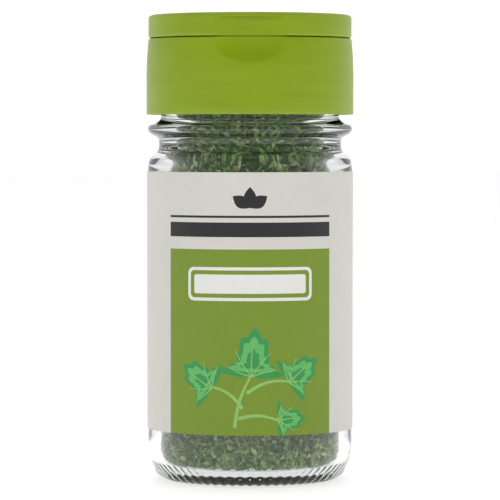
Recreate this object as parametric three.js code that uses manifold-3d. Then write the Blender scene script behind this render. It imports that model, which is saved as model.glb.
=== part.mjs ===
// A glass jar of dried parsley with a green flip-top sifter cap, in millimetres, +Z up.
// The origin is the centre of the circle that the jar stands on. The thumb notch faces -Y and the lid's hinge is at +Y.
import * as THREE from "three";
import { mergeVertices } from "three/addons/utils/BufferGeometryUtils.js";
import Module from "manifold-3d";

const wasm = await Module();
wasm.setup();

// Driving dimensions of the jar
const BODY_RADIUS = 23.0;
const BORE_RADIUS = 16.9; // inside of the neck
const INSIDE_RADIUS = 20.55; // inside of the body
const NECK_RADIUS = 20.05; // outside of the neck, where the thread stands
const WAIST_RADIUS = 20.55; // the hollow between bead and shoulder
const BEAD_RADIUS = 22.98; // the round bead below the cap
const MOUTH_HEIGHT = 97.2;
const BEARING_HEIGHT = 0.25; // the heel clears the table by this much between its ridges
const BEARING_RADIUS = 18.1;
const HEEL_HEIGHT = 9.8;
const HEEL_POWER = 2.3;
const AROUND = 48; // facets round every turned piece
const RIDGES = 60; // knurls round the heel

// Driving dimensions of the cap
const CAP_RADIUS = 23.3;
const CAP_BOTTOM = 82.1;
const SEAM_HEIGHT = 99.2; // where lid and cap base meet
const SEAM_GAP = 0.1; // each side of the seam
const SEAM_RADIUS = 22.85;
const TOTAL_HEIGHT = 104.5;
const DECK_TOP = 98.7;
const DECK_THICKNESS = 1.3;
const SPIGOT_RADIUS = 20.7;
const SPIGOT_TOP = 100.3;
const RECESS_RADIUS = 19.8;
const LID_INSIDE_RADIUS = 20.9;
const LID_TOP_THICKNESS = 1.3;
const THREAD_PITCH = 3.18;
const THREAD_TURNS = 1.25;
const THREAD_TOP = 91.8; // middle of the neck's thread where it starts
const HOLE_RADIUS = 2.6;
const HOLE_CIRCLE = 8.2;
const HOLES_AROUND = 6;
const NOTCH_DEPTH = 1.34;
const NOTCH_TOP = 103.45;
const NOTCH_DROP = 4.95; // how far the thumb scoop runs down the cap base
const HINGE_Y = 23.2;
const HINGE_HALF_WIDTH = 5;

// Driving dimensions of the label and the filling
const LABEL_BOTTOM = 11.6;
const LABEL_TOP = 69.4;
const LABEL_INSIDE = BODY_RADIUS + 0.04;
const LABEL_THICKNESS = 0.15;
const LABEL_GAP_STEPS = 2; // facets left bare on each side of the back
const FILL_TOP = 93.4;
const FILL_GAP = 0.2; // between the herb and the glass
const FLAKE_THICKNESS = 0.7;

const STEP = (2 * Math.PI) / AROUND;

// Turns a three.js geometry into a solid, facing out.
function solidOf(geometry) {
  const bare = geometry.clone();
  bare.deleteAttribute("normal");
  bare.deleteAttribute("uv");
  const merged = mergeVertices(bare, 1e-4);
  const build = (triVerts) =>
    new wasm.Manifold(
      new wasm.Mesh({
        numProp: 3,
        vertProperties: new Float32Array(merged.attributes.position.array),
        triVerts,
      }),
    );
  const faces = new Uint32Array(merged.index.array);
  const solid = build(faces);
  if (solid.volume() > 0) return solid;
  for (let i = 0; i < faces.length; i += 3) {
    [faces[i + 1], faces[i + 2]] = [faces[i + 2], faces[i + 1]];
  }
  return build(faces);
}

// Turns a solid back into a three.js geometry with flat faces.
function geometryOf(solid) {
  const mesh = solid.getMesh();
  const positions = new Float32Array(mesh.numVert * 3);
  for (let i = 0; i < mesh.numVert; i++) {
    positions.set(mesh.vertProperties.subarray(i * mesh.numProp, i * mesh.numProp + 3), i * 3);
  }
  const shared = new THREE.BufferGeometry();
  shared.setAttribute("position", new THREE.BufferAttribute(positions, 3));
  shared.setIndex(new THREE.BufferAttribute(new Uint32Array(mesh.triVerts), 1));
  const flat = shared.toNonIndexed();
  flat.computeVertexNormals();
  return flat;
}

// A solid turned about Z from a profile of [radius, height] points, with a corner facing -Y.
function turned(profile) {
  const points = profile.map(([r, z]) => new THREE.Vector2(r, z));
  return solidOf(new THREE.LatheGeometry(points, AROUND).rotateX(Math.PI / 2));
}

// A closed loop of [radius, height] points, for a turned ring that doesn't touch the axis.
function turnedRing(profile) {
  return turned([...profile, profile[0]]);
}

function box(xSize, ySize, zSize, x, y, z) {
  return solidOf(new THREE.BoxGeometry(xSize, ySize, zSize).translate(x, y, z));
}

function union(solids) {
  return wasm.Manifold.union(solids);
}

// Repeatable numbers from 0 to 1, so that the flakes always fall the same way.
function seeded(seed) {
  let state = seed;
  return () => {
    state = (state * 1664525 + 1013904223) % 4294967296;
    return state / 4294967296;
  };
}

// The heel's outside as [radius, height], from the standing circle up to the body, grown outwards by the amount given.
function heelCurve(steps, grow) {
  const points = [];
  for (let i = 0; i <= steps; i++) {
    const angle = (Math.PI / 2) * (1 - i / steps);
    const across = Math.pow(Math.max(Math.cos(angle), 0), 2 / HEEL_POWER);
    const down = Math.pow(Math.sin(angle), 2 / HEEL_POWER);
    points.push([
      BEARING_RADIUS + (BODY_RADIUS - BEARING_RADIUS) * across + grow * Math.cos(angle),
      HEEL_HEIGHT - (HEEL_HEIGHT - BEARING_HEIGHT) * down - grow * Math.sin(angle),
    ]);
  }
  return points;
}

// A thread flight: a blunt ridge wound round Z, whose height fades out at both ends.
function threadFlight(rootRadius, crestRadius, rootHeight, crestHeight, topHeight) {
  const steps = Math.round(AROUND * THREAD_TURNS);
  const fade = 4;
  const positions = [];
  const faces = [];
  for (let i = 0; i <= steps; i++) {
    const angle = i * STEP;
    const strength = Math.max(0.05, Math.min(1, i / fade, (steps - i) / fade));
    const crest = rootRadius + (crestRadius - rootRadius) * strength;
    const middle = topHeight - THREAD_PITCH * (1 - (angle / (2 * Math.PI))) - THREAD_PITCH * (THREAD_TURNS - 1);
    const section = [
      [rootRadius, middle - rootHeight / 2],
      [crest, middle - crestHeight / 2],
      [crest, middle + crestHeight / 2],
      [rootRadius, middle + rootHeight / 2],
    ];
    for (const [r, z] of section) positions.push(r * Math.cos(angle), r * Math.sin(angle), z);
  }
  const corners = 4;
  for (let i = 0; i < steps; i++) {
    for (let k = 0; k < corners; k++) {
      const a = i * corners + k;
      const b = i * corners + ((k + 1) % corners);
      faces.push(a, b, b + corners, a, b + corners, a + corners);
    }
  }
  const last = steps * corners;
  faces.push(0, 2, 1, 0, 3, 2, last, last + 1, last + 2, last, last + 2, last + 3);
  const geometry = new THREE.BufferGeometry();
  geometry.setAttribute("position", new THREE.BufferAttribute(new Float32Array(positions), 3));
  geometry.setIndex(faces);
  return solidOf(geometry);
}

// One knurl of the heel: a radial ridge that follows the heel's curve and ends flat on the table.
function heelRidge() {
  const width = 0.8;
  const crest = heelCurve(6, BEARING_HEIGHT).slice(0, 3);
  const root = [
    [BEARING_RADIUS + 2.4, 2.4],
    [BEARING_RADIUS - 1.5, BEARING_HEIGHT + 0.5],
    [BEARING_RADIUS - 1.2, 0],
  ];
  const outline = new THREE.Shape([...crest, ...root].map(([r, z]) => new THREE.Vector2(r, z)));
  const bar = new THREE.ExtrudeGeometry(outline, { depth: width, bevelEnabled: false });
  bar.translate(0, 0, -width / 2).rotateX(Math.PI / 2);
  return solidOf(bar);
}

// The jar's outside from the centre of its foot up to the mouth.
function jarOutside() {
  return [
    [0, 1.5],
    [11, 1.3],
    [15.6, 0.9],
    [BEARING_RADIUS - 1.3, BEARING_HEIGHT],
    ...heelCurve(6, 0),
    [BODY_RADIUS, 70.2],
    [22.75, 71.7],
    [22.3, 72.65],
    [21.4, 73.4],
    [20.8, 74.0],
    [WAIST_RADIUS, 74.9],
    [WAIST_RADIUS, 76.0],
    [20.85, 76.9],
    [22.1, 77.6],
    [22.8, 78.25],
    [BEAD_RADIUS, 78.9],
    [22.7, 79.7],
    [21.5, 80.15],
    [20.3, 81.0],
    [NECK_RADIUS, 81.6],
    [NECK_RADIUS, 96.4],
    [19.4, MOUTH_HEIGHT],
  ];
}

// The jar's inside from the middle of its floor up to the mouth, moved inwards by the gap given.
function jarInside(gap) {
  return [
    [0, 3.0 + gap],
    [15.0, 2.6 + gap],
    [18.0 - gap / 2, 2.85 + gap],
    [19.8 - gap, 4.1 + gap / 2],
    [INSIDE_RADIUS - gap, 6.8],
    [INSIDE_RADIUS - gap, 67.0],
    [20.2 - gap, 69.2],
    [19.1 - gap, 71.5 - gap / 2],
    [17.5 - gap, 74.0 - gap / 2],
    [BORE_RADIUS - gap, 76.0],
  ];
}

function glassJar() {
  const inside = jarInside(0).reverse();
  const profile = [
    ...jarOutside(),
    [17.5, MOUTH_HEIGHT],
    [BORE_RADIUS, 96.6],
    ...inside,
  ];
  const ridges = [];
  for (let i = 0; i < RIDGES; i++) {
    ridges.push(heelRidge().rotate([0, 0, (360 * i) / RIDGES]));
  }
  const thread = threadFlight(NECK_RADIUS - 0.3, 21.15, 1.5, 0.8, THREAD_TOP);
  return union([turned(profile), ...ridges, thread]);
}

// The tool that hollows the thumb notch: a flat-backed pocket in the lid, and a round scoop in the cap base below it.
function notchCutter() {
  const back = -(SEAM_RADIUS - NOTCH_DEPTH);
  const scoopRadius = (NOTCH_DROP ** 2 + NOTCH_DEPTH ** 2) / (2 * NOTCH_DEPTH);
  const width = 24;
  const scoop = new THREE.CylinderGeometry(scoopRadius, scoopRadius, width, 96);
  scoop.rotateZ(Math.PI / 2).translate(0, back - scoopRadius, SEAM_HEIGHT);
  const below = box(width, 8, 8, 0, back - 3, SEAM_HEIGHT - 4);
  const pocketHeight = NOTCH_TOP - SEAM_HEIGHT;
  const pocket = box(width, 6, pocketHeight, 0, back - 3, SEAM_HEIGHT + pocketHeight / 2);
  return union([solidOf(scoop).intersect(below), pocket]);
}

// Half of the living hinge's root, a flat land that stands on the back of the cap, above or below the seam.
function hingeLand(low, high) {
  const depth = 1.3;
  const outer = HINGE_Y - 0.1;
  return box(2 * HINGE_HALF_WIDTH, depth, high - low, 0, outer - depth / 2, (low + high) / 2);
}

function capBase() {
  const deckUnder = DECK_TOP - DECK_THICKNESS;
  const wallInside = 21.95;
  const profile = [
    [0, deckUnder],
    [15.4, deckUnder],
    [15.6, 94.5],
    [16.3, 94.5],
    [16.5, deckUnder],
    [21.2, deckUnder],
    [21.2, 93.9],
    [wallInside, 93.2],
    [wallInside, 84.0],
    [22.3, CAP_BOTTOM],
    [CAP_RADIUS, CAP_BOTTOM],
    [CAP_RADIUS, 91.4],
    [23.2, 94.6],
    [23.02, 97.2],
    [SEAM_RADIUS, SEAM_HEIGHT - SEAM_GAP],
    [SPIGOT_RADIUS, SEAM_HEIGHT - SEAM_GAP],
    [SPIGOT_RADIUS, SPIGOT_TOP - 0.4],
    [SPIGOT_RADIUS - 0.3, SPIGOT_TOP],
    [RECESS_RADIUS + 0.1, SPIGOT_TOP],
    [RECESS_RADIUS, DECK_TOP],
    [0, DECK_TOP],
  ];
  const thread = threadFlight(wallInside + 0.3, 20.65, 1.4, 0.7, THREAD_TOP - THREAD_PITCH / 2);
  const land = hingeLand(SEAM_HEIGHT - 1.2, SEAM_HEIGHT - 0.15);
  const holes = [];
  for (let i = 0; i <= HOLES_AROUND; i++) {
    const angle = (2 * Math.PI * i) / HOLES_AROUND;
    const out = i === HOLES_AROUND ? 0 : HOLE_CIRCLE;
    const hole = new THREE.CylinderGeometry(HOLE_RADIUS, HOLE_RADIUS, 4, 16).rotateX(Math.PI / 2);
    hole.translate(out * Math.cos(angle), out * Math.sin(angle), DECK_TOP - DECK_THICKNESS / 2);
    holes.push(solidOf(hole));
  }
  return union([turned(profile), thread, land]).subtract(union([...holes, notchCutter()]));
}

function flipLid() {
  const under = TOTAL_HEIGHT - LID_TOP_THICKNESS;
  const bottom = SEAM_HEIGHT + SEAM_GAP;
  const sealBottom = DECK_TOP + 0.25;
  const profile = [
    [0, under],
    [12.1, under],
    [12.3, sealBottom],
    [13.1, sealBottom],
    [13.3, under],
    [LID_INSIDE_RADIUS, under],
    [LID_INSIDE_RADIUS, bottom],
    [SEAM_RADIUS - 0.35, bottom],
    [SEAM_RADIUS, bottom + 0.4],
    [SEAM_RADIUS, TOTAL_HEIGHT - 1.1],
    [SEAM_RADIUS - 0.35, TOTAL_HEIGHT - 0.4],
    [SEAM_RADIUS - 1.2, TOTAL_HEIGHT],
    [0, TOTAL_HEIGHT],
  ];
  const land = hingeLand(SEAM_HEIGHT + 0.15, SEAM_HEIGHT + 1.2);
  return union([turned(profile), land]).subtract(notchCutter());
}

// A paper band round the body, open at the back.
function label() {
  const outline = new THREE.Shape();
  const first = LABEL_GAP_STEPS;
  const last = AROUND - LABEL_GAP_STEPS;
  const corner = (radius, i) => [radius * Math.sin(i * STEP), radius * Math.cos(i * STEP)];
  outline.moveTo(...corner(LABEL_INSIDE, first));
  for (let i = first + 1; i <= last; i++) outline.lineTo(...corner(LABEL_INSIDE, i));
  for (let i = last; i >= first; i--) outline.lineTo(...corner(LABEL_INSIDE + LABEL_THICKNESS, i));
  outline.closePath();
  const band = new THREE.ExtrudeGeometry(outline, { depth: LABEL_TOP - LABEL_BOTTOM, bevelEnabled: false });
  return solidOf(band.translate(0, 0, LABEL_BOTTOM));
}

// The inside radius of the glass at a height, for laying flakes against it.
function insideRadiusAt(height) {
  const wall = jarInside(0).slice(3);
  if (height <= wall[0][1]) return wall[0][0];
  for (let i = 1; i < wall.length; i++) {
    const [r0, z0] = wall[i - 1];
    const [r1, z1] = wall[i];
    if (height <= z1) return r0 + ((r1 - r0) * (height - z0)) / (z1 - z0);
  }
  return BORE_RADIUS;
}

// A torn piece of dried leaf: a thin plate with three pointed lobes and a narrow foot.
function flake(random) {
  const length = 4.2 + 2.4 * random();
  const width = 2.6 + 1.6 * random();
  const lean = 0.8 * (random() - 0.5);
  const outline = new THREE.Shape([
    new THREE.Vector2(-0.15 * width, -0.5 * length),
    new THREE.Vector2(0.2 * width, -0.45 * length),
    new THREE.Vector2(0.6 * width, 0.1 * length),
    new THREE.Vector2(0.22 * width, 0.12 * length),
    new THREE.Vector2(lean, 0.5 * length),
    new THREE.Vector2(-0.2 * width, 0.08 * length),
    new THREE.Vector2(-0.55 * width, 0.02 * length),
  ]);
  const plate = new THREE.ExtrudeGeometry(outline, { depth: FLAKE_THICKNESS, bevelEnabled: false });
  return plate.translate(0, 0, -FLAKE_THICKNESS / 2);
}

// Lays one flake against the wall at an angle round the jar and a height.
function wallFlake(random, angle, height) {
  const radius = insideRadiusAt(height) - 0.55;
  const plate = flake(random);
  plate.rotateZ(2 * Math.PI * random());
  plate.rotateY(0.5 * (random() - 0.5));
  plate.rotateX(Math.PI / 2 + 0.5 * (random() - 0.5));
  plate.rotateZ(angle + Math.PI / 2);
  plate.translate(radius * Math.cos(angle), radius * Math.sin(angle), height);
  return solidOf(plate);
}

// Rows of flakes between two heights, each turned a little past the one below.
function flakeRows(random, low, high, rows, perRow) {
  const flakes = [];
  for (let row = 0; row < rows; row++) {
    for (let i = 0; i < perRow; i++) {
      const angle = (2 * Math.PI * (i + 0.5 * (row % 2) + 0.5 * random())) / perRow;
      const height = low + ((high - low) * (row + 0.3 + 0.4 * random())) / rows;
      flakes.push(wallFlake(random, angle, height));
    }
  }
  return flakes;
}

// Flakes that lie loose on top of the herb, under the sifter holes.
function topFlakes(random) {
  const flakes = [];
  const turn = Math.PI * (3 - Math.sqrt(5));
  const count = 9;
  for (let i = 0; i < count; i++) {
    const out = 13.2 * Math.sqrt((i + 0.5) / count);
    const plate = flake(random);
    plate.rotateX(0.5 * (random() - 0.5));
    plate.rotateZ(2 * Math.PI * random());
    plate.translate(out * Math.cos(i * turn), out * Math.sin(i * turn), FILL_TOP + 0.2);
    flakes.push(solidOf(plate));
  }
  return flakes;
}

function driedParsley() {
  const random = seeded(11);
  const core = turned([
    [0, 3.5],
    [16.8, 3.5],
    [19.0, 4.9],
    [19.8, 7.6],
    [19.8, 66.6],
    [19.2, 69.4],
    [17.4, 72.6],
    [16.2, 75.2],
    [16.2, FILL_TOP],
    [0, FILL_TOP],
  ]);
  const flakes = [
    ...flakeRows(random, 3.8, 12.5, 2, 13),
    ...flakeRows(random, 20.0, 62.0, 3, 5),
    ...flakeRows(random, 67.0, 82.0, 3, 10),
    ...topFlakes(random),
  ];
  const envelope = turned([...jarInside(FILL_GAP), [BORE_RADIUS - FILL_GAP, 94.2], [0, 94.2]]);
  const heap = union([core, ...flakes]).intersect(envelope);
  const bodies = heap.decompose().sort((a, b) => b.volume() - a.volume());
  return bodies[0];
}

const MATERIALS = {
  glass: new THREE.MeshStandardMaterial({
    color: 0xf2f6f5,
    roughness: 0.05,
    metalness: 0,
    transparent: true,
    opacity: 0.35,
  }),
  green: new THREE.MeshStandardMaterial({ color: 0x8fa81c, roughness: 0.35, metalness: 0 }),
  paper: new THREE.MeshStandardMaterial({ color: 0xd8d7cf, roughness: 0.6, metalness: 0 }),
  herb: new THREE.MeshStandardMaterial({ color: 0x5c7a45, roughness: 0.9, metalness: 0 }),
};

const jar = new THREE.Group();

function place(name, solid, material) {
  const mesh = new THREE.Mesh(geometryOf(solid), material);
  mesh.name = name;
  jar.add(mesh);
}

place("glass_jar", glassJar(), MATERIALS.glass);
place("cap_base", capBase(), MATERIALS.green);
place("flip_lid", flipLid(), MATERIALS.green);
place("label", label(), MATERIALS.paper);
place("dried_parsley", driedParsley(), MATERIALS.herb);

export default jar;
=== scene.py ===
import math
import random

import bmesh
import bpy
from mathutils import Euler, Matrix, Vector, geometry


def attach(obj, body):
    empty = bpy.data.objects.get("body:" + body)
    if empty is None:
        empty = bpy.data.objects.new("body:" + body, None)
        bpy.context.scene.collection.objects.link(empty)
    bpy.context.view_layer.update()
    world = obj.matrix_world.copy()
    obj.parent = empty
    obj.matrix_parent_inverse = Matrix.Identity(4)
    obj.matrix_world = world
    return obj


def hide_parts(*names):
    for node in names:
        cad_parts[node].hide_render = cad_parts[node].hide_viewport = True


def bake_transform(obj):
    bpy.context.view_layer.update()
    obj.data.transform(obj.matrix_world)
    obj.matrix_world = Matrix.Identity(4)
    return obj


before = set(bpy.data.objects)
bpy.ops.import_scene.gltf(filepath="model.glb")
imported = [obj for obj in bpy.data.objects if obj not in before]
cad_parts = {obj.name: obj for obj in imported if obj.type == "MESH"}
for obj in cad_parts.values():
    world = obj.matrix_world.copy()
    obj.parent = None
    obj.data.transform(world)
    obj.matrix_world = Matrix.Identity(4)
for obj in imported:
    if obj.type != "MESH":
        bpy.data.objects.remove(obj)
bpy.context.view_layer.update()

# Sizes in millimetres, the same as the CAD part's
MM = 0.001
BODY_RADIUS = 23.0
BORE_RADIUS = 16.9
INSIDE_RADIUS = 20.55
NECK_RADIUS = 20.05
MOUTH_HEIGHT = 97.2
BEARING_RADIUS = 18.1
BEARING_HEIGHT = 0.25
HEEL_HEIGHT = 9.8
HEEL_POWER = 2.3
RIDGES = 60
RIDGE_REACH = 2.7  # height up the heel where the ridges have faded out

CAP_RADIUS = 23.3
CAP_BOTTOM = 82.1
SEAM_HEIGHT = 99.2
SEAM_GAP = 0.1
SEAM_RADIUS = 22.85
TOTAL_HEIGHT = 104.5
DECK_TOP = 98.7
DECK_UNDER = 97.4
SPIGOT_RADIUS = 20.7
SPIGOT_TOP = 100.3
CAP_WALL_INSIDE = 21.95
LID_INSIDE_RADIUS = 20.9
LID_UNDER = 103.2
HOLE_RADIUS = 2.6
HOLE_CIRCLE = 8.2
NOTCH_BACK = 21.51  # the thumb notch's flat back lies this far from the jar's axis
NOTCH_TOP = 103.45
NOTCH_DROP = 4.95
NOTCH_SOFTNESS = 0.16
HINGE_Y = 23.2
HINGE_HALF_WIDTH = 5.0

THREAD_PITCH = 3.18
THREAD_TURNS = 1.25
THREAD_LOW = 87.83
THREAD_HEIGHT = 1.1

LABEL_BOTTOM = 11.6
LABEL_TOP = 69.4
LABEL_INSIDE = 23.04
LABEL_OUTSIDE = 23.19
LABEL_HALF_ANGLE = math.radians(165)
PANEL_HALF_WIDTH = 19.9
PANEL_TOP = 52.5

FILL_TOP = 93.4

random.seed(7)


# Profiles

def smooth(points, steps):
    """Points along a Catmull-Rom curve through the [radius, height] points given."""
    padded = [points[0], *points, points[-1]]
    out = []
    for i in range(1, len(padded) - 2):
        p0, p1, p2, p3 = (Vector(p) for p in padded[i - 1 : i + 3])
        for k in range(steps):
            t = k / steps
            q = 2 * p1 + (p2 - p0) * t
            q += (2 * p0 - 5 * p1 + 4 * p2 - p3) * t * t
            q += (3 * p1 - p0 - 3 * p2 + p3) * t ** 3
            out.append((q.x / 2, q.y / 2))
    out.append(tuple(points[-1]))
    return out


def heel_profile(steps):
    """The jar's heel from its standing circle up to the straight body."""
    out = []
    for i in range(steps + 1):
        angle = math.pi / 2 * (1 - i / steps)
        across = max(math.cos(angle), 0) ** (2 / HEEL_POWER)
        down = math.sin(angle) ** (2 / HEEL_POWER)
        out.append((
            BEARING_RADIUS + (BODY_RADIUS - BEARING_RADIUS) * across,
            HEEL_HEIGHT - (HEEL_HEIGHT - BEARING_HEIGHT) * down,
        ))
    return out


def spread(low, high, step):
    count = max(1, round(abs(high - low) / step))
    return [low + (high - low) * i / count for i in range(count + 1)]


def jar_inside_profile(gap):
    """The jar's inside from the middle of its floor up to the neck's bore, moved inwards by gap."""
    floor = smooth([
        (0, 3.0 + gap), (8, 2.9 + gap), (15.0, 2.6 + gap), (18.0 - gap / 2, 2.9 + gap),
        (19.8 - gap, 4.3 + gap / 2), (INSIDE_RADIUS - gap, 7.2),
    ], 4)
    shoulder = smooth([
        (INSIDE_RADIUS - gap, 66.0), (INSIDE_RADIUS - 0.05 - gap, 67.4), (20.2 - gap, 69.2),
        (19.1 - gap, 71.5 - gap / 2), (17.6 - gap, 73.8 - gap / 2), (16.95 - gap, 75.4), (BORE_RADIUS - gap, 76.6),
    ], 5)
    return floor + shoulder


# Meshes

def thread(angle, height, low):
    """How far a thread stands out of its wall here, from 0 to 1."""
    total = 2 * math.pi * THREAD_TURNS
    best = 0.0
    for turn in (0, 1):
        along = angle % (2 * math.pi) + 2 * math.pi * turn
        if along > total:
            continue
        middle = low + THREAD_PITCH * along / (2 * math.pi)
        side = abs(height - middle)
        rise = min(1.0, max(0.0, (0.8 - side) / 0.42))
        fade = min(1.0, along / 0.5, (total - along) / 0.5)
        best = max(best, rise * max(0.0, fade))
    return best


def add_turned(bm, rows, angles, shape=None):
    """Turns rows of [radius, height] about Z into a bmesh. shape moves a point, given its row, angle, radius, height."""
    rings = []
    for index, (radius, height) in enumerate(rows):
        if radius < 1e-6:
            rings.append([bm.verts.new((0, 0, height * MM))])
            continue
        ring = []
        for angle in angles:
            r, z = shape(index, angle, radius, height) if shape else (radius, height)
            ring.append(bm.verts.new((r * math.sin(angle) * MM, -r * math.cos(angle) * MM, z * MM)))
        rings.append(ring)
    pairs = list(zip(rings, rings[1:]))
    if rows[0][0] > 1e-6:
        pairs.append((rings[-1], rings[0]))
    count = len(angles)
    for low, high in pairs:
        for j in range(count):
            k = (j + 1) % count
            if len(low) == 1:
                bm.faces.new((low[0], high[k], high[j]))
            elif len(high) == 1:
                bm.faces.new((low[j], low[k], high[0]))
            else:
                bm.faces.new((low[j], low[k], high[k], high[j]))


def add_box(bm, low, high, bevel):
    """A box between two corners in millimetres, with rounded edges."""
    made = bmesh.ops.create_cube(bm, size=1)["verts"]
    for v in made:
        for i in range(3):
            v.co[i] = (low[i] if v.co[i] < 0 else high[i]) * MM
    edges = list({e for v in made for e in v.link_edges})
    bmesh.ops.bevel(bm, geom=edges, offset=bevel * MM, segments=3, affect="EDGES", profile=0.5)


def finish_mesh(name, bm, materials, sharp=35):
    """Makes an object of a bmesh, shaded smooth apart from its sharp edges."""
    bmesh.ops.recalc_face_normals(bm, faces=bm.faces)
    mesh = bpy.data.meshes.new(name)
    bm.to_mesh(mesh)
    bm.free()
    for material in materials:
        mesh.materials.append(material)
    for face in mesh.polygons:
        face.use_smooth = True
    mesh.set_sharp_from_angle(angle=math.radians(sharp))
    piece = bpy.data.objects.new(name, mesh)
    bpy.context.scene.collection.objects.link(piece)
    return piece


def cut(piece, cutter):
    """Cuts one object out of another and keeps the result as the first one's mesh."""
    modifier = piece.modifiers.new("cut", "BOOLEAN")
    modifier.operation = "DIFFERENCE"
    modifier.solver = "EXACT"
    modifier.object = cutter
    bpy.context.view_layer.update()
    depsgraph = bpy.context.evaluated_depsgraph_get()
    mesh = bpy.data.meshes.new_from_object(piece.evaluated_get(depsgraph))
    piece.modifiers.clear()
    old = piece.data
    piece.data = mesh
    mesh.name = piece.name
    bpy.data.meshes.remove(old)
    bpy.data.objects.remove(cutter, do_unlink=True)
    for face in mesh.polygons:
        face.use_smooth = True
    mesh.set_sharp_from_angle(angle=math.radians(35))


def even_angles(count):
    return [2 * math.pi * i / count for i in range(count)]


def notch_angles():
    """Angles round the cap, finer across the thumb notch at the front."""
    fine = math.radians(26)
    front = spread(-fine, fine, math.radians(0.4))
    back = spread(fine, 2 * math.pi - fine, math.radians(2.5))
    return front + back[1:-1]


# Material nodes

class Wire:
    """A value that runs through a material's nodes and takes ordinary arithmetic."""

    def __init__(self, tree, socket):
        self.tree = tree
        self.socket = socket

    def _math(self, operation, *values):
        node = self.tree.nodes.new("ShaderNodeMath")
        node.operation = operation
        for slot, value in zip(node.inputs, (self, *values)):
            if isinstance(value, Wire):
                self.tree.links.new(value.socket, slot)
            else:
                slot.default_value = value
        return Wire(self.tree, node.outputs[0])

    def __add__(self, other):
        return self._math("ADD", other)

    def __sub__(self, other):
        return self._math("SUBTRACT", other)

    def __mul__(self, other):
        return self._math("MULTIPLY", other)

    def spread_over(self, low, high, to_low, to_high):
        node = self.tree.nodes.new("ShaderNodeMapRange")
        self.tree.links.new(self.socket, node.inputs["Value"])
        for name, value in zip(("From Min", "From Max", "To Min", "To Max"), (low, high, to_low, to_high)):
            node.inputs[name].default_value = value
        return Wire(self.tree, node.outputs[0])

    def tint(self, low, high):
        """A colour between two, by this value."""
        node = self.tree.nodes.new("ShaderNodeMix")
        node.data_type = "RGBA"
        self.tree.links.new(self.socket, node.inputs["Factor"])
        node.inputs["A"].default_value = (*low, 1)
        node.inputs["B"].default_value = (*high, 1)
        return Wire(self.tree, node.outputs["Result"])


class Surface:
    """A Principled material under construction."""

    def __init__(self, name):
        self.material = bpy.data.materials.new(name)
        self.material.use_nodes = True
        self.tree = self.material.node_tree
        self.shader = self.tree.nodes["Principled BSDF"]

    def set(self, **values):
        for name, value in values.items():
            socket = self.shader.inputs[name.replace("_", " ")]
            if isinstance(value, Wire):
                self.tree.links.new(value.socket, socket)
            elif isinstance(value, tuple):
                socket.default_value = (*value, 1) if socket.type == "RGBA" else value
            else:
                socket.default_value = value
        return self

    def noise(self, scale, detail=4.0, stretch=(1, 1, 1)):
        """Noise laid on the object in its own metres: scale is in cells a metre."""
        place = self.tree.nodes.new("ShaderNodeTexCoord")
        mapping = self.tree.nodes.new("ShaderNodeMapping")
        mapping.inputs["Scale"].default_value = stretch
        node = self.tree.nodes.new("ShaderNodeTexNoise")
        node.inputs["Scale"].default_value = scale
        node.inputs["Detail"].default_value = detail
        self.tree.links.new(place.outputs["Object"], mapping.inputs["Vector"])
        self.tree.links.new(mapping.outputs[0], node.inputs["Vector"])
        return Wire(self.tree, node.outputs["Fac"])

    def bump(self, height, distance, strength=1.0):
        node = self.tree.nodes.new("ShaderNodeBump")
        node.inputs["Distance"].default_value = distance
        node.inputs["Strength"].default_value = strength
        self.tree.links.new(height.socket, node.inputs["Height"])
        self.tree.links.new(node.outputs[0], self.shader.inputs["Normal"])
        return self


def scaled(colour, factor):
    return tuple(c * factor for c in colour)


def glass_material():
    """Clear glass that lets the lamps through."""
    surface = Surface("clear_glass").set(
        Base_Color=(0.975, 0.99, 0.983), Roughness=0.0, IOR=1.5, Transmission_Weight=1.0)
    waves = surface.noise(45, 1.0, (1, 1, 0.5))
    surface.bump(waves, 0.0004, 0.25)
    tree = surface.tree
    path = tree.nodes.new("ShaderNodeLightPath")
    clear = tree.nodes.new("ShaderNodeBsdfTransparent")
    clear.inputs["Color"].default_value = (0.94, 0.96, 0.95, 1)
    mix = tree.nodes.new("ShaderNodeMixShader")
    tree.links.new(path.outputs["Is Shadow Ray"], mix.inputs[0])
    tree.links.new(surface.shader.outputs[0], mix.inputs[1])
    tree.links.new(clear.outputs[0], mix.inputs[2])
    tree.links.new(mix.outputs[0], tree.nodes["Material Output"].inputs["Surface"])
    return surface.material


def plastic_material():
    """Satin green polypropylene with faint level flow marks."""
    green = (0.25, 0.36, 0.002)
    surface = Surface("green_plastic")
    flow = surface.noise(60, 3.0, (1, 1, 9))
    grain = surface.noise(2600, 2.0)
    surface.set(
        Base_Color=flow.spread_over(0.3, 0.7, 0, 1).tint(scaled(green, 0.95), scaled(green, 1.06)),
        Roughness=grain.spread_over(0.3, 0.7, 0.36, 0.44),
        IOR=1.49,
        Subsurface_Weight=0.35,
        Subsurface_Radius=(1.0, 1.0, 0.25),
        Subsurface_Scale=0.0012,
    )
    surface.bump(grain, 0.00001, 0.35)
    return surface.material


def paper_material(name, colour, roughness=0.5):
    """Smooth label paper or the ink printed on it, with a fine fibre grain."""
    surface = Surface(name)
    fibre = surface.noise(1500, 5.0, (1, 1, 0.6))
    cloud = surface.noise(90, 3.0)
    surface.set(
        Base_Color=(fibre * 0.6 + cloud * 0.4).spread_over(0.35, 0.65, 0, 1).tint(
            scaled(colour, 0.965), scaled(colour, 1.025)),
        Roughness=fibre.spread_over(0.3, 0.7, roughness - 0.05, roughness + 0.05),
    )
    surface.bump(fibre, 0.00002, 0.5)
    return surface.material


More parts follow.
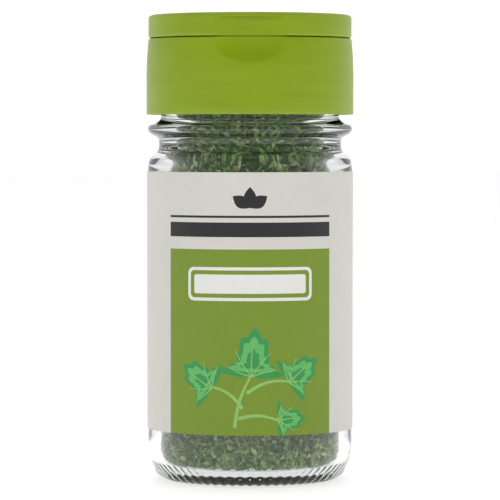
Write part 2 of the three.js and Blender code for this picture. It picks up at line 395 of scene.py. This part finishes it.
def leaf_material(name, colour):
    """One tone of dried leaf, mottled and dull."""
    surface = Surface(name)
    mottle = surface.noise(1300, 4.0)
    surface.set(
        Base_Color=mottle.spread_over(0.3, 0.7, 0, 1).tint(scaled(colour, 0.6), scaled(colour, 1.4)),
        Roughness=mottle.spread_over(0.3, 0.7, 0.7, 0.9),
        Specular_IOR_Level=0.25,
    )
    surface.bump(mottle, 0.0001, 0.6)
    return surface.material


def floor_material():
    surface = Surface("white_floor")
    cloud = surface.noise(3, 2.0)
    surface.set(Base_Color=cloud.tint((0.9, 0.9, 0.9), (0.93, 0.93, 0.93)), Roughness=0.6,
                Emission_Color=(1.0, 1.0, 1.0), Emission_Strength=0.5)
    return surface.material


# The jar

def knurl(angle, radius, height):
    """How far a ridge of the heel stands out here, in millimetres."""
    if radius < BEARING_RADIUS - 1.4 or height > RIDGE_REACH:
        return 0.0
    wave = max(0.0, math.cos(RIDGES * angle)) ** 0.7
    fade = min(1.0, (RIDGE_REACH - height) / 1.2)
    return BEARING_HEIGHT * wave * fade


def glass_jar(material):
    foot = smooth([(0, 1.5), (8, 1.42), (13.5, 1.15), (15.8, 0.75), (BEARING_RADIUS - 1.3, BEARING_HEIGHT)], 3)
    heel = heel_profile(26)
    shoulder = smooth([
        (BODY_RADIUS, 68.5), (BODY_RADIUS, 70.0), (22.75, 71.7), (22.3, 72.65), (21.4, 73.4), (20.8, 74.0),
        (20.55, 74.9), (20.55, 76.0), (20.85, 76.9), (22.1, 77.6), (22.8, 78.25), (22.98, 78.9),
        (22.7, 79.7), (21.5, 80.15), (20.3, 81.0), (NECK_RADIUS, 81.8),
    ], 4)
    neck = [(NECK_RADIUS, z) for z in spread(86.4, 93.4, 0.22)]
    mouth = smooth([(NECK_RADIUS, 96.0), (19.9, 96.8), (19.2, MOUTH_HEIGHT), (18.0, MOUTH_HEIGHT), (17.1, 96.8),
                    (BORE_RADIUS, 96.0)], 3)
    inside = jar_inside_profile(0)[::-1]
    rows = foot + heel[1:] + shoulder + neck + mouth + inside
    outside_count = len(rows) - len(inside) - len(mouth)
    knurled = len(foot) + len(heel)

    def shape(index, angle, radius, height):
        if index < knurled:
            ridge = knurl(angle, radius, height)
            tilt = min(1.0, max(0.0, (radius - BEARING_RADIUS) / 3.2))
            return radius + ridge * tilt, height - ridge * (1 - tilt)
        if index < outside_count and height > 86:
            return radius + THREAD_HEIGHT * thread(angle - math.pi / 2, height, THREAD_LOW), height
        return radius, height

    bm = bmesh.new()
    add_turned(bm, rows, even_angles(RIDGES * 6), shape)
    return finish_mesh("jar_glass", bm, [material], 60)


# The cap

def soft_lower(a, b, softness):
    """The lower of two numbers, rounded where they meet."""
    if abs(a - b) >= softness:
        return min(a, b)
    gap = softness - abs(a - b)
    return min(a, b) - gap * gap / (4 * softness)


def notch_depth_at(height):
    """How far from the axis the notch's back lies at a height, or a large number past its ends."""
    if height > NOTCH_TOP:
        return 99.0
    if height >= SEAM_HEIGHT:
        return NOTCH_BACK
    scoop = (NOTCH_DROP ** 2 + (SEAM_RADIUS - NOTCH_BACK) ** 2) / (2 * (SEAM_RADIUS - NOTCH_BACK))
    below = SEAM_HEIGHT - height
    if below >= scoop:
        return 99.0
    return NOTCH_BACK + scoop - math.sqrt(scoop ** 2 - below ** 2)


def notched(radius, angle, height):
    facing = math.cos(angle)
    if facing < 0.8:
        return radius
    return soft_lower(radius, notch_depth_at(height) / facing, NOTCH_SOFTNESS)


def sifter_cap(material):
    inner_wall = [(CAP_WALL_INSIDE, z) for z in spread(92.6, 85.2, 0.24)]
    under = [(0, DECK_UNDER), (15.3, DECK_UNDER), (15.45, DECK_UNDER - 0.15), (15.6, 94.7), (15.8, 94.5),
             (16.15, 94.5), (16.3, 94.7), (16.5, DECK_UNDER - 0.15), (16.65, DECK_UNDER), (21.05, DECK_UNDER),
             (21.2, DECK_UNDER - 0.15), (21.2, 94.0)]
    hem = [(22.2, 82.4), (22.35, CAP_BOTTOM), (22.5, CAP_BOTTOM), (23.12, CAP_BOTTOM), (23.26, CAP_BOTTOM + 0.05),
           (CAP_RADIUS, CAP_BOTTOM + 0.2)]
    skirt = [(CAP_RADIUS, 84), (CAP_RADIUS, 88)]
    skirt += smooth([(CAP_RADIUS, 91.4), (23.22, 94.0), (23.1, 96.2), (22.95, 98.0), (22.9, 98.72)], 9)
    skirt += [(22.89, 98.85), (22.85, 98.98), (22.76, 99.06), (22.62, SEAM_HEIGHT - SEAM_GAP)]
    outside_end = len(under) + len(inner_wall) + len(hem) + len(skirt)
    top = [(SPIGOT_RADIUS + 0.75, SEAM_HEIGHT - SEAM_GAP), (SPIGOT_RADIUS, SEAM_HEIGHT - SEAM_GAP),
           (SPIGOT_RADIUS, SPIGOT_TOP - 0.35), (SPIGOT_RADIUS - 0.1, SPIGOT_TOP - 0.1),
           (SPIGOT_RADIUS - 0.3, SPIGOT_TOP), (20.1, SPIGOT_TOP), (19.93, SPIGOT_TOP - 0.12), (19.8, DECK_TOP + 0.3),
           (19.7, DECK_TOP + 0.08), (19.5, DECK_TOP), (0, DECK_TOP)]
    rows = under + inner_wall + hem + skirt + top
    wall_start = len(under)
    wall_end = wall_start + len(inner_wall)

    def shape(index, angle, radius, height):
        if wall_start <= index < wall_end:
            return radius - 1.3 * thread(angle - math.pi / 2, height, THREAD_LOW - THREAD_PITCH / 2), height
        if wall_end <= index < outside_end:
            return notched(radius, angle, height), height
        return radius, height

    bm = bmesh.new()
    add_turned(bm, rows, notch_angles(), shape)
    cap = finish_mesh("sifter_cap", bm, [material])
    holes = bmesh.new()
    for i in range(7):
        angle = math.radians(30 + 60 * i)
        out = 0 if i == 6 else HOLE_CIRCLE
        centre = Vector((out * math.sin(angle), out * math.cos(angle), (DECK_TOP + DECK_UNDER) / 2)) * MM
        bmesh.ops.create_cone(holes, cap_ends=True, segments=40, radius1=HOLE_RADIUS * MM, radius2=HOLE_RADIUS * MM,
                              depth=3 * MM, matrix=Matrix.Translation(centre))
    cut(cap, finish_mesh("hole_cutter", holes, [material]))
    return cap


def lid_shell(material):
    bottom = SEAM_HEIGHT + SEAM_GAP
    under = [(0, LID_UNDER), (12.0, LID_UNDER), (12.15, LID_UNDER - 0.15), (12.3, 99.15), (12.5, 98.95),
             (12.9, 98.95), (13.1, 99.15), (13.25, LID_UNDER - 0.15), (13.4, LID_UNDER),
             (LID_INSIDE_RADIUS - 0.3, LID_UNDER), (LID_INSIDE_RADIUS, LID_UNDER - 0.3), (LID_INSIDE_RADIUS, bottom)]
    edge = [(22.3, bottom), (22.5, bottom), (22.68, bottom + 0.08), (22.8, bottom + 0.24), (SEAM_RADIUS, bottom + 0.5)]
    wall = [(SEAM_RADIUS, z) for z in (100.2, 101, 102, 103.0, 103.3, 103.38, 103.44, 103.46, 103.52, 103.6)]
    rim = smooth([(SEAM_RADIUS, 103.7), (22.8, 103.95), (22.6, 104.2), (22.3, 104.38), (21.9, 104.47),
                  (21.3, TOTAL_HEIGHT)], 2)
    top = [(20, TOTAL_HEIGHT), (10, TOTAL_HEIGHT), (0, TOTAL_HEIGHT)]
    rows = under + edge + wall + rim + top
    outside_start = len(under)

    def shape(index, angle, radius, height):
        if outside_start <= index < len(rows) - len(top):
            return notched(radius, angle, height), height
        return radius, height

    bm = bmesh.new()
    add_turned(bm, rows, notch_angles(), shape)
    return finish_mesh("lid_shell", bm, [material])


def hinge_lands(material):
    """The two raised lands that the living hinge joins, one on each side of the seam."""
    lands = []
    for name, low, high in (("hinge_land_cap", 98.0, 99.05), ("hinge_land_lid", 99.35, 100.4)):
        bm = bmesh.new()
        add_box(bm, (-HINGE_HALF_WIDTH, 21.8, low), (HINGE_HALF_WIDTH, HINGE_Y - 0.1, high), 0.2)
        lands.append(finish_mesh(name, bm, [material], 60))
    return lands


def hinge_film(material):
    """The thin web of plastic between the two hinge lands, made in one fixed shape."""
    bm = bmesh.new()
    half = HINGE_HALF_WIDTH - 0.3
    rows = []
    for z in spread(98.7, 99.7, 0.07):
        thin = 0.12 + 0.25 * min(1.0, abs(z - SEAM_HEIGHT) / 0.35)
        rows.append([bm.verts.new((x * MM, y * MM, z * MM)) for x, y in (
            (-half, HINGE_Y - 0.12 - thin), (half, HINGE_Y - 0.12 - thin), (half, HINGE_Y - 0.12), (-half, HINGE_Y - 0.12))])
    for low, high in zip(rows, rows[1:]):
        for j in range(4):
            bm.faces.new((low[j], low[(j + 1) % 4], high[(j + 1) % 4], high[j]))
    bm.faces.new(rows[0][::-1])
    bm.faces.new(rows[-1])
    return finish_mesh("hinge_film", bm, [material], 50)


# The label

def rectangle(left, bottom, right, top):
    return [(left, bottom), (right, bottom), (right, top), (left, top)]


def rounded(left, bottom, right, top, radius, steps=6):
    out = []
    corners = ((right - radius, top - radius, 0), (left + radius, top - radius, 90),
               (left + radius, bottom + radius, 180), (right - radius, bottom + radius, 270))
    for x, y, start in corners:
        for i in range(steps + 1):
            angle = math.radians(start + 90 * i / steps)
            out.append((x + radius * math.cos(angle), y + radius * math.sin(angle)))
    return out


def stroke(points, width_start, width_end):
    """A tapering line through points, as a closed outline."""
    left, right = [], []
    for i, point in enumerate(points):
        before = Vector(points[max(i - 1, 0)])
        after = Vector(points[min(i + 1, len(points) - 1)])
        side = (after - before).normalized()
        side = Vector((-side.y, side.x))
        width = width_start + (width_end - width_start) * i / (len(points) - 1)
        left.append(tuple(Vector(point) + side * width / 2))
        right.append(tuple(Vector(point) - side * width / 2))
    return left + right[::-1]


def bent(start, end, bow, steps=8):
    """Points on a line from start to end that bows sideways."""
    a, b = Vector(start), Vector(end)
    side = Vector((-(b - a).y, (b - a).x))
    return [tuple(a.lerp(b, i / steps) + side * bow * math.sin(math.pi * i / steps)) for i in range(steps + 1)]


def leaflet(x, y, size, turn):
    """A leaf with three lobes and rounded teeth, whose foot is at x, y and whose tip points along turn."""
    outline = []
    steps = 66
    for i in range(steps + 1):
        angle = -112 + 224 * i / steps
        lobe = 0.5 + 0.5 * math.cos(math.radians(angle * 3.05))
        middle = 1.0 - 0.3 * abs(angle) / 112
        tooth = 0.5 + 0.5 * math.cos(math.radians(angle * 15))
        reach = middle * (0.5 + 0.42 * lobe ** 0.8) * (0.86 + 0.14 * tooth ** 0.6)
        outline.append((angle * 0.86, reach * min(1.0, 0.35 + (112 - abs(angle)) / 20)))
    points = [(x, y)]
    for angle, reach in outline:
        a = math.radians(turn + angle)
        points.append((x + size * reach * math.cos(a), y + size * reach * math.sin(a)))
    return points


def sprig():
    """Regions of a drawn sprig: stems, leaves, their light middles and veins."""
    regions = []
    stems = [((-3.4, 13.4), (0.4, 25.2), 0.06), ((-1.7, 17.6), (-9.0, 22.4), -0.12), ((-0.7, 21.0), (9.2, 23.4), 0.12),
             ((-2.6, 15.4), (6.4, 14.9), 0.1)]
    for start, end, bow in stems:
        regions.append(("sprig_stem", stroke(bent(start, end, bow), 0.8, 0.45)))
    leaves = [(0.4, 24.6, 11.6, 86), (-8.6, 22.0, 9.6, 146), (8.8, 23.2, 9.4, 36), (6.2, 14.9, 7.2, 4)]
    for x, y, size, turn in leaves:
        regions.append(("sprig_leaf", leaflet(x, y, size, turn)))
        regions.append(("sprig_light", leaflet(*along(x, y, 0.1 * size, turn), size * 0.72, turn)))
        regions.append(("sprig_leaf", leaflet(*along(x, y, 0.16 * size, turn), size * 0.4, turn)))
        for side in (-72, -36, 0, 36, 72):
            end = along(x, y, size * (0.72 - abs(side) / 320), turn + side)
            regions.append(("sprig_stem", stroke(bent((x, y), end, 0.04, 5), 0.3, 0.12)))
    return regions


def along(x, y, distance, turn):
    """The point at a distance from x, y in the direction turn."""
    return (x + distance * math.cos(math.radians(turn)), y + distance * math.sin(math.radians(turn)))


def small_mark():
    """A plain three-leaf mark for the top of the label."""
    regions = []
    for turn in (34, 90, 146):
        a = math.radians(turn)
        tip = (4.6 * math.cos(a), 61.6 + 4.6 * math.sin(a))
        body = bent((0, 61.6), tip, 0.3, 8) + bent((0, 61.6), tip, -0.3, 8)[-2:0:-1]
        regions.append(("ink", body))
    return regions


def label_regions():
    """The label's printed regions in the order they're laid down, in millimetres from the middle of the front."""
    regions = [("panel_green", rectangle(-PANEL_HALF_WIDTH, LABEL_BOTTOM, PANEL_HALF_WIDTH, PANEL_TOP))]
    regions += small_mark()
    regions.append(("ink", rectangle(-PANEL_HALF_WIDTH, 55.2, PANEL_HALF_WIDTH, 58.4)))
    regions.append(("ink", rectangle(-PANEL_HALF_WIDTH, 59.4, PANEL_HALF_WIDTH, 59.9)))
    regions.append(("white_ink", rounded(-14.5, 41.2, 14.5, 48.6, 1.4)))
    regions.append(("panel_green", rounded(-13.8, 41.9, 13.8, 47.9, 0.9)))
    regions.append(("white_ink", rounded(-12.9, 42.8, 12.9, 47.0, 0.5)))
    regions += sprig()
    return regions


def inside_outline(x, y, outline):
    found = False
    for (x0, y0), (x1, y1) in zip(outline, outline[1:] + outline[:1]):
        if (y0 > y) != (y1 > y) and x < x0 + (x1 - x0) * (y - y0) / (y1 - y0):
            found = not found
    return found


def paper_label(materials):
    """The printed label: a flat layout cut into regions, then wrapped round the jar and given its thickness."""
    regions = label_regions()
    half = LABEL_OUTSIDE * LABEL_HALF_ANGLE
    points = []
    edges = []

    def lay(outline):
        start = len(points)
        points.extend(Vector(p) for p in outline)
        count = len(outline)
        edges.extend((start + i, start + (i + 1) % count) for i in range(count))

    def fine(outline):
        out = []
        for a, b in zip(outline, outline[1:] + outline[:1]):
            steps = max(1, math.ceil(math.dist(a, b) / 0.8))
            out.extend((a[0] + (b[0] - a[0]) * i / steps, a[1] + (b[1] - a[1]) * i / steps) for i in range(steps))
        return out

    columns = spread(-half, half, 0.8)
    levels = spread(LABEL_BOTTOM, LABEL_TOP, 3.6)
    border = [(x, LABEL_BOTTOM) for x in columns] + [(half, z) for z in levels[1:-1]]
    border += [(x, LABEL_TOP) for x in columns[::-1]] + [(-half, z) for z in levels[-2:0:-1]]
    lay(border)
    for _, outline in regions:
        lay(fine([(x, max(z, LABEL_BOTTOM)) for x, z in outline]))
    inner_levels = spread(LABEL_BOTTOM, LABEL_TOP, 0.9)[1:-1]
    points.extend(Vector((x, z)) for x in columns[1:-1] for z in inner_levels)
    verts, _, faces, *_ = geometry.delaunay_2d_cdt(points, edges, [], 0, 1e-4)
    names = list(materials)
    bm = bmesh.new()
    front = [bm.verts.new(wrap(v.x, v.y, LABEL_OUTSIDE)) for v in verts]
    for face in faces:
        x = sum(verts[i].x for i in face) / 3
        z = sum(verts[i].y for i in face) / 3
        made = bm.faces.new([front[i] for i in face])
        for name, outline in regions:
            if inside_outline(x, z, outline):
                made.material_index = names.index(name)
    back = [bm.verts.new(wrap(x, z, LABEL_INSIDE)) for x, z in border]
    rim = [min(front, key=lambda v, p=wrap(x, z, LABEL_OUTSIDE): (v.co - p).length_squared) for x, z in border]
    count = len(border)
    for i in range(count):
        k = (i + 1) % count
        bm.faces.new((rim[i], rim[k], back[k], back[i]))
    top_row = [back[len(columns) + len(levels) - 2 + i] for i in range(len(columns))][::-1]
    bottom_row = back[: len(columns)]
    sides_right = back[len(columns) : len(columns) + len(levels) - 2]
    sides_left = back[2 * len(columns) + len(levels) - 2 :][::-1]
    for i in range(len(columns) - 1):
        face = [bottom_row[i], bottom_row[i + 1]]
        if i == len(columns) - 2:
            face += sides_right
        face += [top_row[i + 1], top_row[i]]
        if i == 0:
            face += sides_left[::-1]
        bm.faces.new(face)
    return finish_mesh("label_paper", bm, list(materials.values()), 40)


def wrap(across, height, radius):
    angle = across / LABEL_OUTSIDE
    return Vector((radius * math.sin(angle) * MM, -radius * math.cos(angle) * MM, height * MM))


# The dried parsley

def inside_radius_at(height):
    """The glass's inside radius at a height."""
    wall = jar_inside_profile(0)
    wall = [p for p in wall if p[0] > 15]
    if height <= wall[0][1]:
        return wall[0][0]
    for (r0, z0), (r1, z1) in zip(wall, wall[1:]):
        if z0 <= height <= z1 and z1 > z0:
            return r0 + (r1 - r0) * (height - z0) / (z1 - z0)
    return BORE_RADIUS


def parsley_core(material):
    """The dark mass behind the flakes."""
    rows = [(0, 4.3), (16.4, 4.3), (18.3, 5.8), (18.9, 8.4), (18.9, 66), (18.3, 69), (16.6, 72.2), (15.3, 75.4),
            (15.3, 91.8), (14.6, 92.4), (0, 92.6)]
    bm = bmesh.new()
    add_turned(bm, rows, even_angles(72))
    bmesh.ops.subdivide_edges(bm, edges=bm.edges, cuts=1, use_grid_fill=True)
    for v in bm.verts:
        v.co += v.co.normalized() * random.uniform(-0.0003, 0.0003)
    return finish_mesh("parsley_core", bm, [material], 60)


def add_flake(bm, centre, facing, size, tone):
    """A torn, curled bit of leaf at centre, lying square to facing with some tilt."""
    length = size * random.uniform(0.7, 1.6)
    width = min(length * random.uniform(0.18, 0.6), 1.5)
    bend = random.uniform(-0.25, 0.35) * length
    curl = random.uniform(-0.3, 0.5) * width
    outline = []
    count = random.choice((6, 7, 8))
    for i in range(count):
        angle = 2 * math.pi * i / count + random.uniform(-0.25, 0.25)
        reach = random.uniform(0.62, 1.1) if i % 2 else random.uniform(0.4, 0.9)
        outline.append((math.cos(angle) * length * reach / 2, math.sin(angle) * width * reach / 2))
    turn = Matrix.Rotation(random.uniform(0, 2 * math.pi), 3, "Z")
    tilt = Euler((random.gauss(0, 0.6), random.gauss(0, 0.5), 0)).to_matrix()
    stand = facing.to_track_quat("Z", "Y").to_matrix()
    place = stand @ tilt @ turn
    verts = []
    for x, y in [(0.0, 0.0), *outline]:
        z = bend * (2 * x / length) ** 2 * 0.5 + curl * (2 * y / width) ** 2 * 0.5
        verts.append(keep_inside(centre + place @ Vector((x, y, -z))))
    made = [bm.verts.new(v * MM) for v in verts]
    for i in range(count):
        face = bm.faces.new((made[0], made[1 + i], made[1 + (i + 1) % count]))
        face.material_index = tone


WALL = [inside_radius_at(i * 0.25) for i in range(400)]


def keep_inside(point):
    """Moves a point in from the glass, if it would touch it."""
    point.z = min(max(point.z, 3.3), 94.3)
    limit = WALL[int(point.z * 4)] - 0.2
    if point.z < 5.3:
        limit = min(limit, 17.8 + (point.z - 3.3) * 1.1)
    across = math.hypot(point.x, point.y)
    if across > limit:
        point.x *= limit / across
        point.y *= limit / across
    return point


def pick_tone():
    return random.choices(range(7), weights=(24, 22, 18, 14, 10, 8, 4))[0]


def wall_flakes(bm, low, high, count, size, first=0.0, last=2 * math.pi):
    for _ in range(count):
        angle = random.uniform(first, last)
        height = random.uniform(low, high)
        radius = WALL[int(height * 4)] - 0.35 - abs(random.gauss(0, 0.75))
        outwards = Vector((math.sin(angle), -math.cos(angle), 0))
        centre = outwards * radius + Vector((0, 0, height))
        add_flake(bm, centre, outwards, size * random.uniform(0.55, 1.4), pick_tone())


def parsley_flakes(materials):
    """Thousands of flakes against the glass, on the jar's floor and on top under the sifter."""
    bm = bmesh.new()
    wall_flakes(bm, 66.5, 93.0, 7000, 1.8)
    wall_flakes(bm, 3.6, 13.5, 5200, 1.8)
    gap = math.radians(24)
    wall_flakes(bm, 13.0, 67.5, 1500, 1.9, math.pi - gap, math.pi + gap)
    for _ in range(1500):
        angle = random.uniform(0, 2 * math.pi)
        out = 17.3 * math.sqrt(random.random())
        centre = Vector((out * math.sin(angle), out * math.cos(angle), 3.6 + abs(random.gauss(0, 0.4))))
        add_flake(bm, centre, Vector((0, 0, -1)), random.uniform(1.2, 2.4), pick_tone())
    for _ in range(2200):
        angle = random.uniform(0, 2 * math.pi)
        out = 15.6 * math.sqrt(random.random())
        centre = Vector((out * math.sin(angle), out * math.cos(angle), 92.7 + random.uniform(0, 1.1)))
        add_flake(bm, centre, Vector((0, 0, 1)), random.uniform(1.2, 2.8), pick_tone())
    piece = finish_mesh("parsley_flakes", bm, materials, 80)
    return piece


# Studio

# From and to along Y, and how bright the room is at each
ROOM_LIGHT = (-0.75, 0.75, 0.02, 0.9)
ROOM_THROUGH_GLASS = (-1.0, 0.6, 0.6, 0.86)


def area_light(name, place, target, size, power, colour=(1, 1, 1)):
    data = bpy.data.lights.new(name, "AREA")
    data.shape = "RECTANGLE"
    data.size, data.size_y = size
    data.energy = power
    data.color = colour
    lamp = bpy.data.objects.new(name, data)
    lamp.location = place
    lamp.rotation_euler = (Vector(target) - Vector(place)).to_track_quat("-Z", "Y").to_euler()
    bpy.context.scene.collection.objects.link(lamp)
    return lamp


def make_world():
    """A white studio: dim behind the camera for the sheen, and bright all round for what shows through the glass."""
    world = bpy.data.worlds.new("studio")
    bpy.context.scene.world = world
    world.use_nodes = True
    tree = world.node_tree
    direction = tree.nodes.new("ShaderNodeTexCoord")
    split = tree.nodes.new("ShaderNodeSeparateXYZ")
    tree.links.new(direction.outputs["Generated"], split.inputs[0])
    path = tree.nodes.new("ShaderNodeLightPath")

    def background(strength):
        node = tree.nodes.new("ShaderNodeBackground")
        node.inputs["Color"].default_value = (1, 1, 1, 1)
        if isinstance(strength, tuple):
            fall = tree.nodes.new("ShaderNodeMapRange")
            for name, value in zip(("From Min", "From Max", "To Min", "To Max"), strength):
                fall.inputs[name].default_value = value
            tree.links.new(split.outputs["Y"], fall.inputs["Value"])
            tree.links.new(fall.outputs[0], node.inputs["Strength"])
        else:
            node.inputs["Strength"].default_value = strength
        return node.outputs[0]

    def choose(test, no, yes):
        mix = tree.nodes.new("ShaderNodeMixShader")
        tree.links.new(path.outputs[test], mix.inputs[0])
        tree.links.new(no, mix.inputs[1])
        tree.links.new(yes, mix.inputs[2])
        return mix.outputs[0]

    lit = choose("Is Transmission Ray", background(ROOM_LIGHT), background(ROOM_THROUGH_GLASS))
    seen = choose("Is Camera Ray", lit, background(1.1))
    tree.links.new(seen, tree.nodes["World Output"].inputs["Surface"])


def make_floor():
    bm = bmesh.new()
    bmesh.ops.create_circle(bm, cap_ends=True, segments=96, radius=6.0)
    floor = finish_mesh("floor", bm, [floor_material()])


def make_camera():
    data = bpy.data.cameras.new("camera")
    data.sensor_width = 36
    data.lens = 241.7
    data.clip_start = 0.05
    data.clip_end = 50
    camera = bpy.data.objects.new("camera", data)
    camera.location = (0, -0.757, 0.0782)
    aim = Vector((0, 0, 0.0516)) - camera.location
    camera.rotation_euler = aim.to_track_quat("-Z", "Y").to_euler()
    bpy.context.scene.collection.objects.link(camera)
    bpy.context.scene.camera = camera


def make_lights():
    middle = (0, 0, 0.06)
    fills = [
        area_light("left_fill", (-0.85, -0.75, 0.3), middle, (0.8, 0.8), 2.9),
        area_light("right_fill", (0.85, -0.75, 0.3), middle, (0.8, 0.8), 3.0),
        area_light("front_fill", (0, -1.2, 0.7), middle, (0.9, 0.6), 2.9),
    ]
    for lamp in fills:
        lamp.visible_glossy = False
        lamp.visible_transmission = False
    area_light("top_box", (0, 0.15, 0.9), middle, (0.8, 0.8), 1.2)


make_camera()
make_world()
make_floor()
make_lights()
bpy.context.scene.view_settings.view_transform = "Standard"

plastic = plastic_material()
leaf_tones = [
    leaf_material("leaf_mid", (0.14, 0.26, 0.065)),
    leaf_material("leaf_dark", (0.06, 0.135, 0.03)),
    leaf_material("leaf_fresh", (0.17, 0.34, 0.075)),
    leaf_material("leaf_pale", (0.32, 0.45, 0.17)),
    leaf_material("leaf_deep", (0.03, 0.075, 0.016)),
    leaf_material("leaf_olive", (0.26, 0.32, 0.1)),
    leaf_material("leaf_straw", (0.46, 0.44, 0.22)),
]
label_inks = {
    "paper": paper_material("label_white", (0.66, 0.65, 0.6), 0.5),
    "panel_green": paper_material("panel_green", (0.185, 0.285, 0.02), 0.5),
    "ink": paper_material("charcoal_ink", (0.018, 0.018, 0.018), 0.45),
    "white_ink": paper_material("white_ink", (0.8, 0.8, 0.77), 0.5),
    "sprig_stem": paper_material("stem_green", (0.26, 0.52, 0.14), 0.5),
    "sprig_leaf": paper_material("leaf_green", (0.035, 0.3, 0.075), 0.5),
    "sprig_light": paper_material("leaf_light", (0.12, 0.47, 0.13), 0.5),
}

jar = glass_jar(glass_material())
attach(jar, "jar")
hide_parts("glass_jar")

cap = sifter_cap(plastic)
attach(cap, "jar")
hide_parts("cap_base")

lid = lid_shell(plastic)
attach(lid, "lid")
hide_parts("flip_lid")

land_cap, land_lid = hinge_lands(plastic)
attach(land_cap, "jar")
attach(land_lid, "lid")

film = hinge_film(plastic)
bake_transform(film)

label = paper_label(label_inks)
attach(label, "jar")
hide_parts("label")

core = parsley_core(leaf_tones[1])
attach(core, "jar")
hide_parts("dried_parsley")

flakes = parsley_flakes(leaf_tones)
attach(flakes, "jar")
